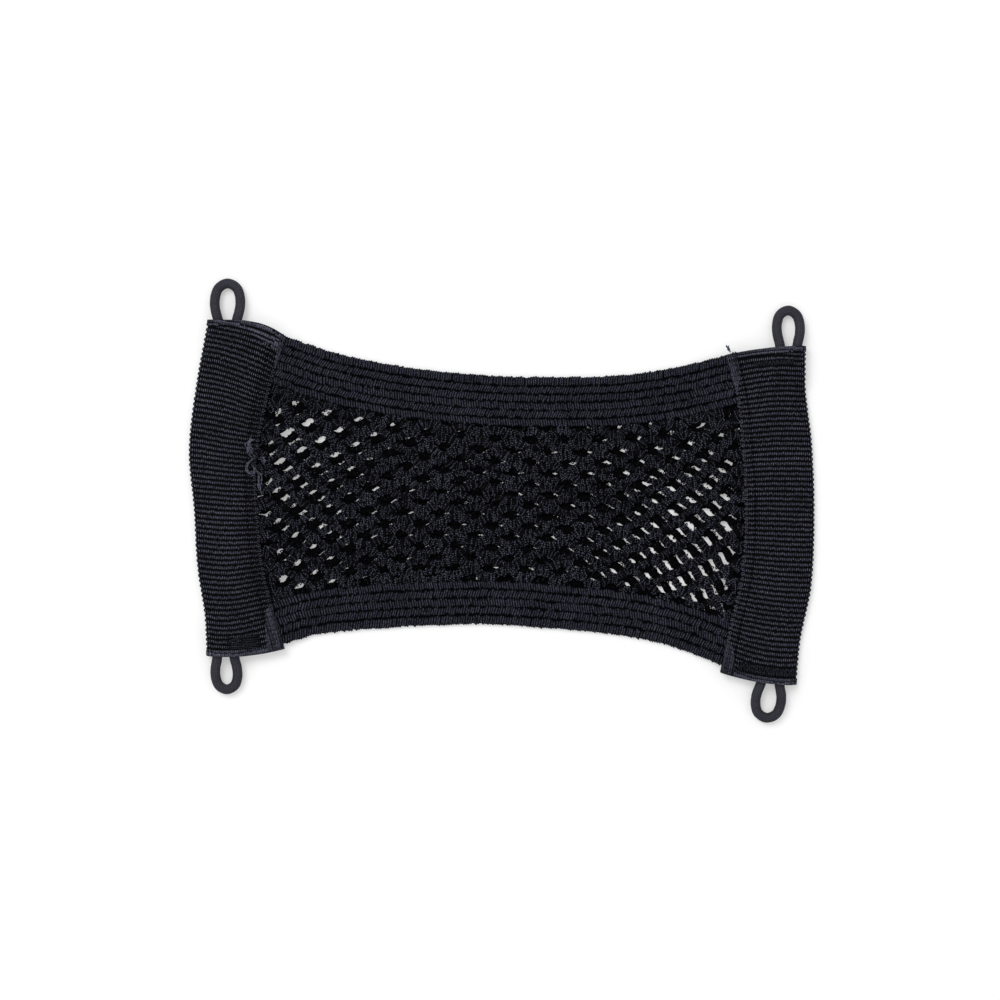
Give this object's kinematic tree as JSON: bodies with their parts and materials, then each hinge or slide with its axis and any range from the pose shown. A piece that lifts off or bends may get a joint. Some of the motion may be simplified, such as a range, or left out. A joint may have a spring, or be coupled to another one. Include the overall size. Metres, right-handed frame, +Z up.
{
  "type": "cargo net",
  "caption": "Flat elastic cargo net of knitted mesh between ribbed elastic borders, with a folded webbing band at each end and cord loops that go over studs or hooks.",
  "frame": {"origin": "On the surface that the net lies on, under the centre of the whole net's box, loops included.", "axes": "+X runs along the net from one webbing band to the other, +Y across it towards the border with more ribs, +Z up from the surface."},
  "size_m": [0.3116, 0.2218, 0.0084],
  "materials": {
    "webbing": "black ribbed woven webbing, matte with a soft sheen on the ribs",
    "elastic_border": "black ribbed elastic, matte",
    "knitted_mesh": "black knitted elastic yarn, matte",
    "shock_cord": "charcoal braided cord cover, satin"
  },
  "bodies": {
    "root": {"mesh_front": "knitted_mesh", "mesh_back": "knitted_mesh", "border_top": "elastic_border", "border_bottom": "elastic_border", "webbing_left": "webbing", "webbing_right": "webbing", "loop_top_left": "shock_cord", "loop_top_right": "shock_cord", "loop_bottom_left": "shock_cord", "loop_bottom_right": "shock_cord"}
  },
  "joints": []
}
